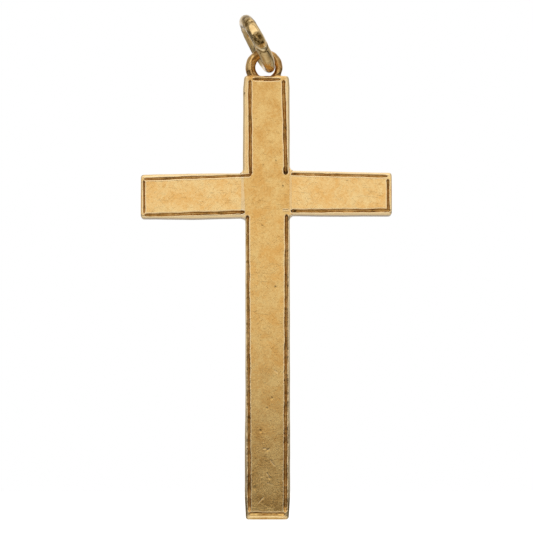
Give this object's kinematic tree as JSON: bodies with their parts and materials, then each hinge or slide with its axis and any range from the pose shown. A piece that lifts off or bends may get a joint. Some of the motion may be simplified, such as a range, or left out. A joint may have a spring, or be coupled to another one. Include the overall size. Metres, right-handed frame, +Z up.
{
  "type": "cross pendant",
  "caption": "Plain Latin cross pendant of hollow rectangular tube, with engraved borders on its front, a soldered hanging loop at the top and a jump ring that passes through the loop.",
  "frame": {"origin": "the point on the jump ring's inner top where a chain bears", "axes": "+Z up the upright, -Y out of the engraved front, +X to the right as the front is seen"},
  "size_m": [0.0254, 0.0066, 0.0512],
  "materials": {
    "upright_gold": "polished yellow gold sheet, worn",
    "arm_gold": "polished yellow gold sheet, worn",
    "solder": "pale gold solder, filed",
    "loop_gold": "polished reddish gold wire",
    "ring_gold": "polished pale gold wire, pitted"
  },
  "bodies": {
    "jump_ring": {"jump_ring": "ring_gold", "jump_ring_solder": "solder"},
    "cross": {"upright_tube": "upright_gold", "left_arm_tube": "arm_gold", "right_arm_tube": "arm_gold", "top_end_plug": "upright_gold", "foot_end_plug": "upright_gold", "left_end_plug": "arm_gold", "right_end_plug": "arm_gold", "left_arm_solder_seam": "solder", "right_arm_solder_seam": "solder", "hanging_loop": "loop_gold", "left_loop_foot_solder": "solder", "right_loop_foot_solder": "solder"}
  },
  "joints": [
    {"name": "cross_swing", "type": "hinge", "parent": "jump_ring", "child": "cross", "pos_m": [0.00185, 0.00111, -0.00394], "axis": [0, 1, 0], "range_deg": [-120, 75]}
  ]
}
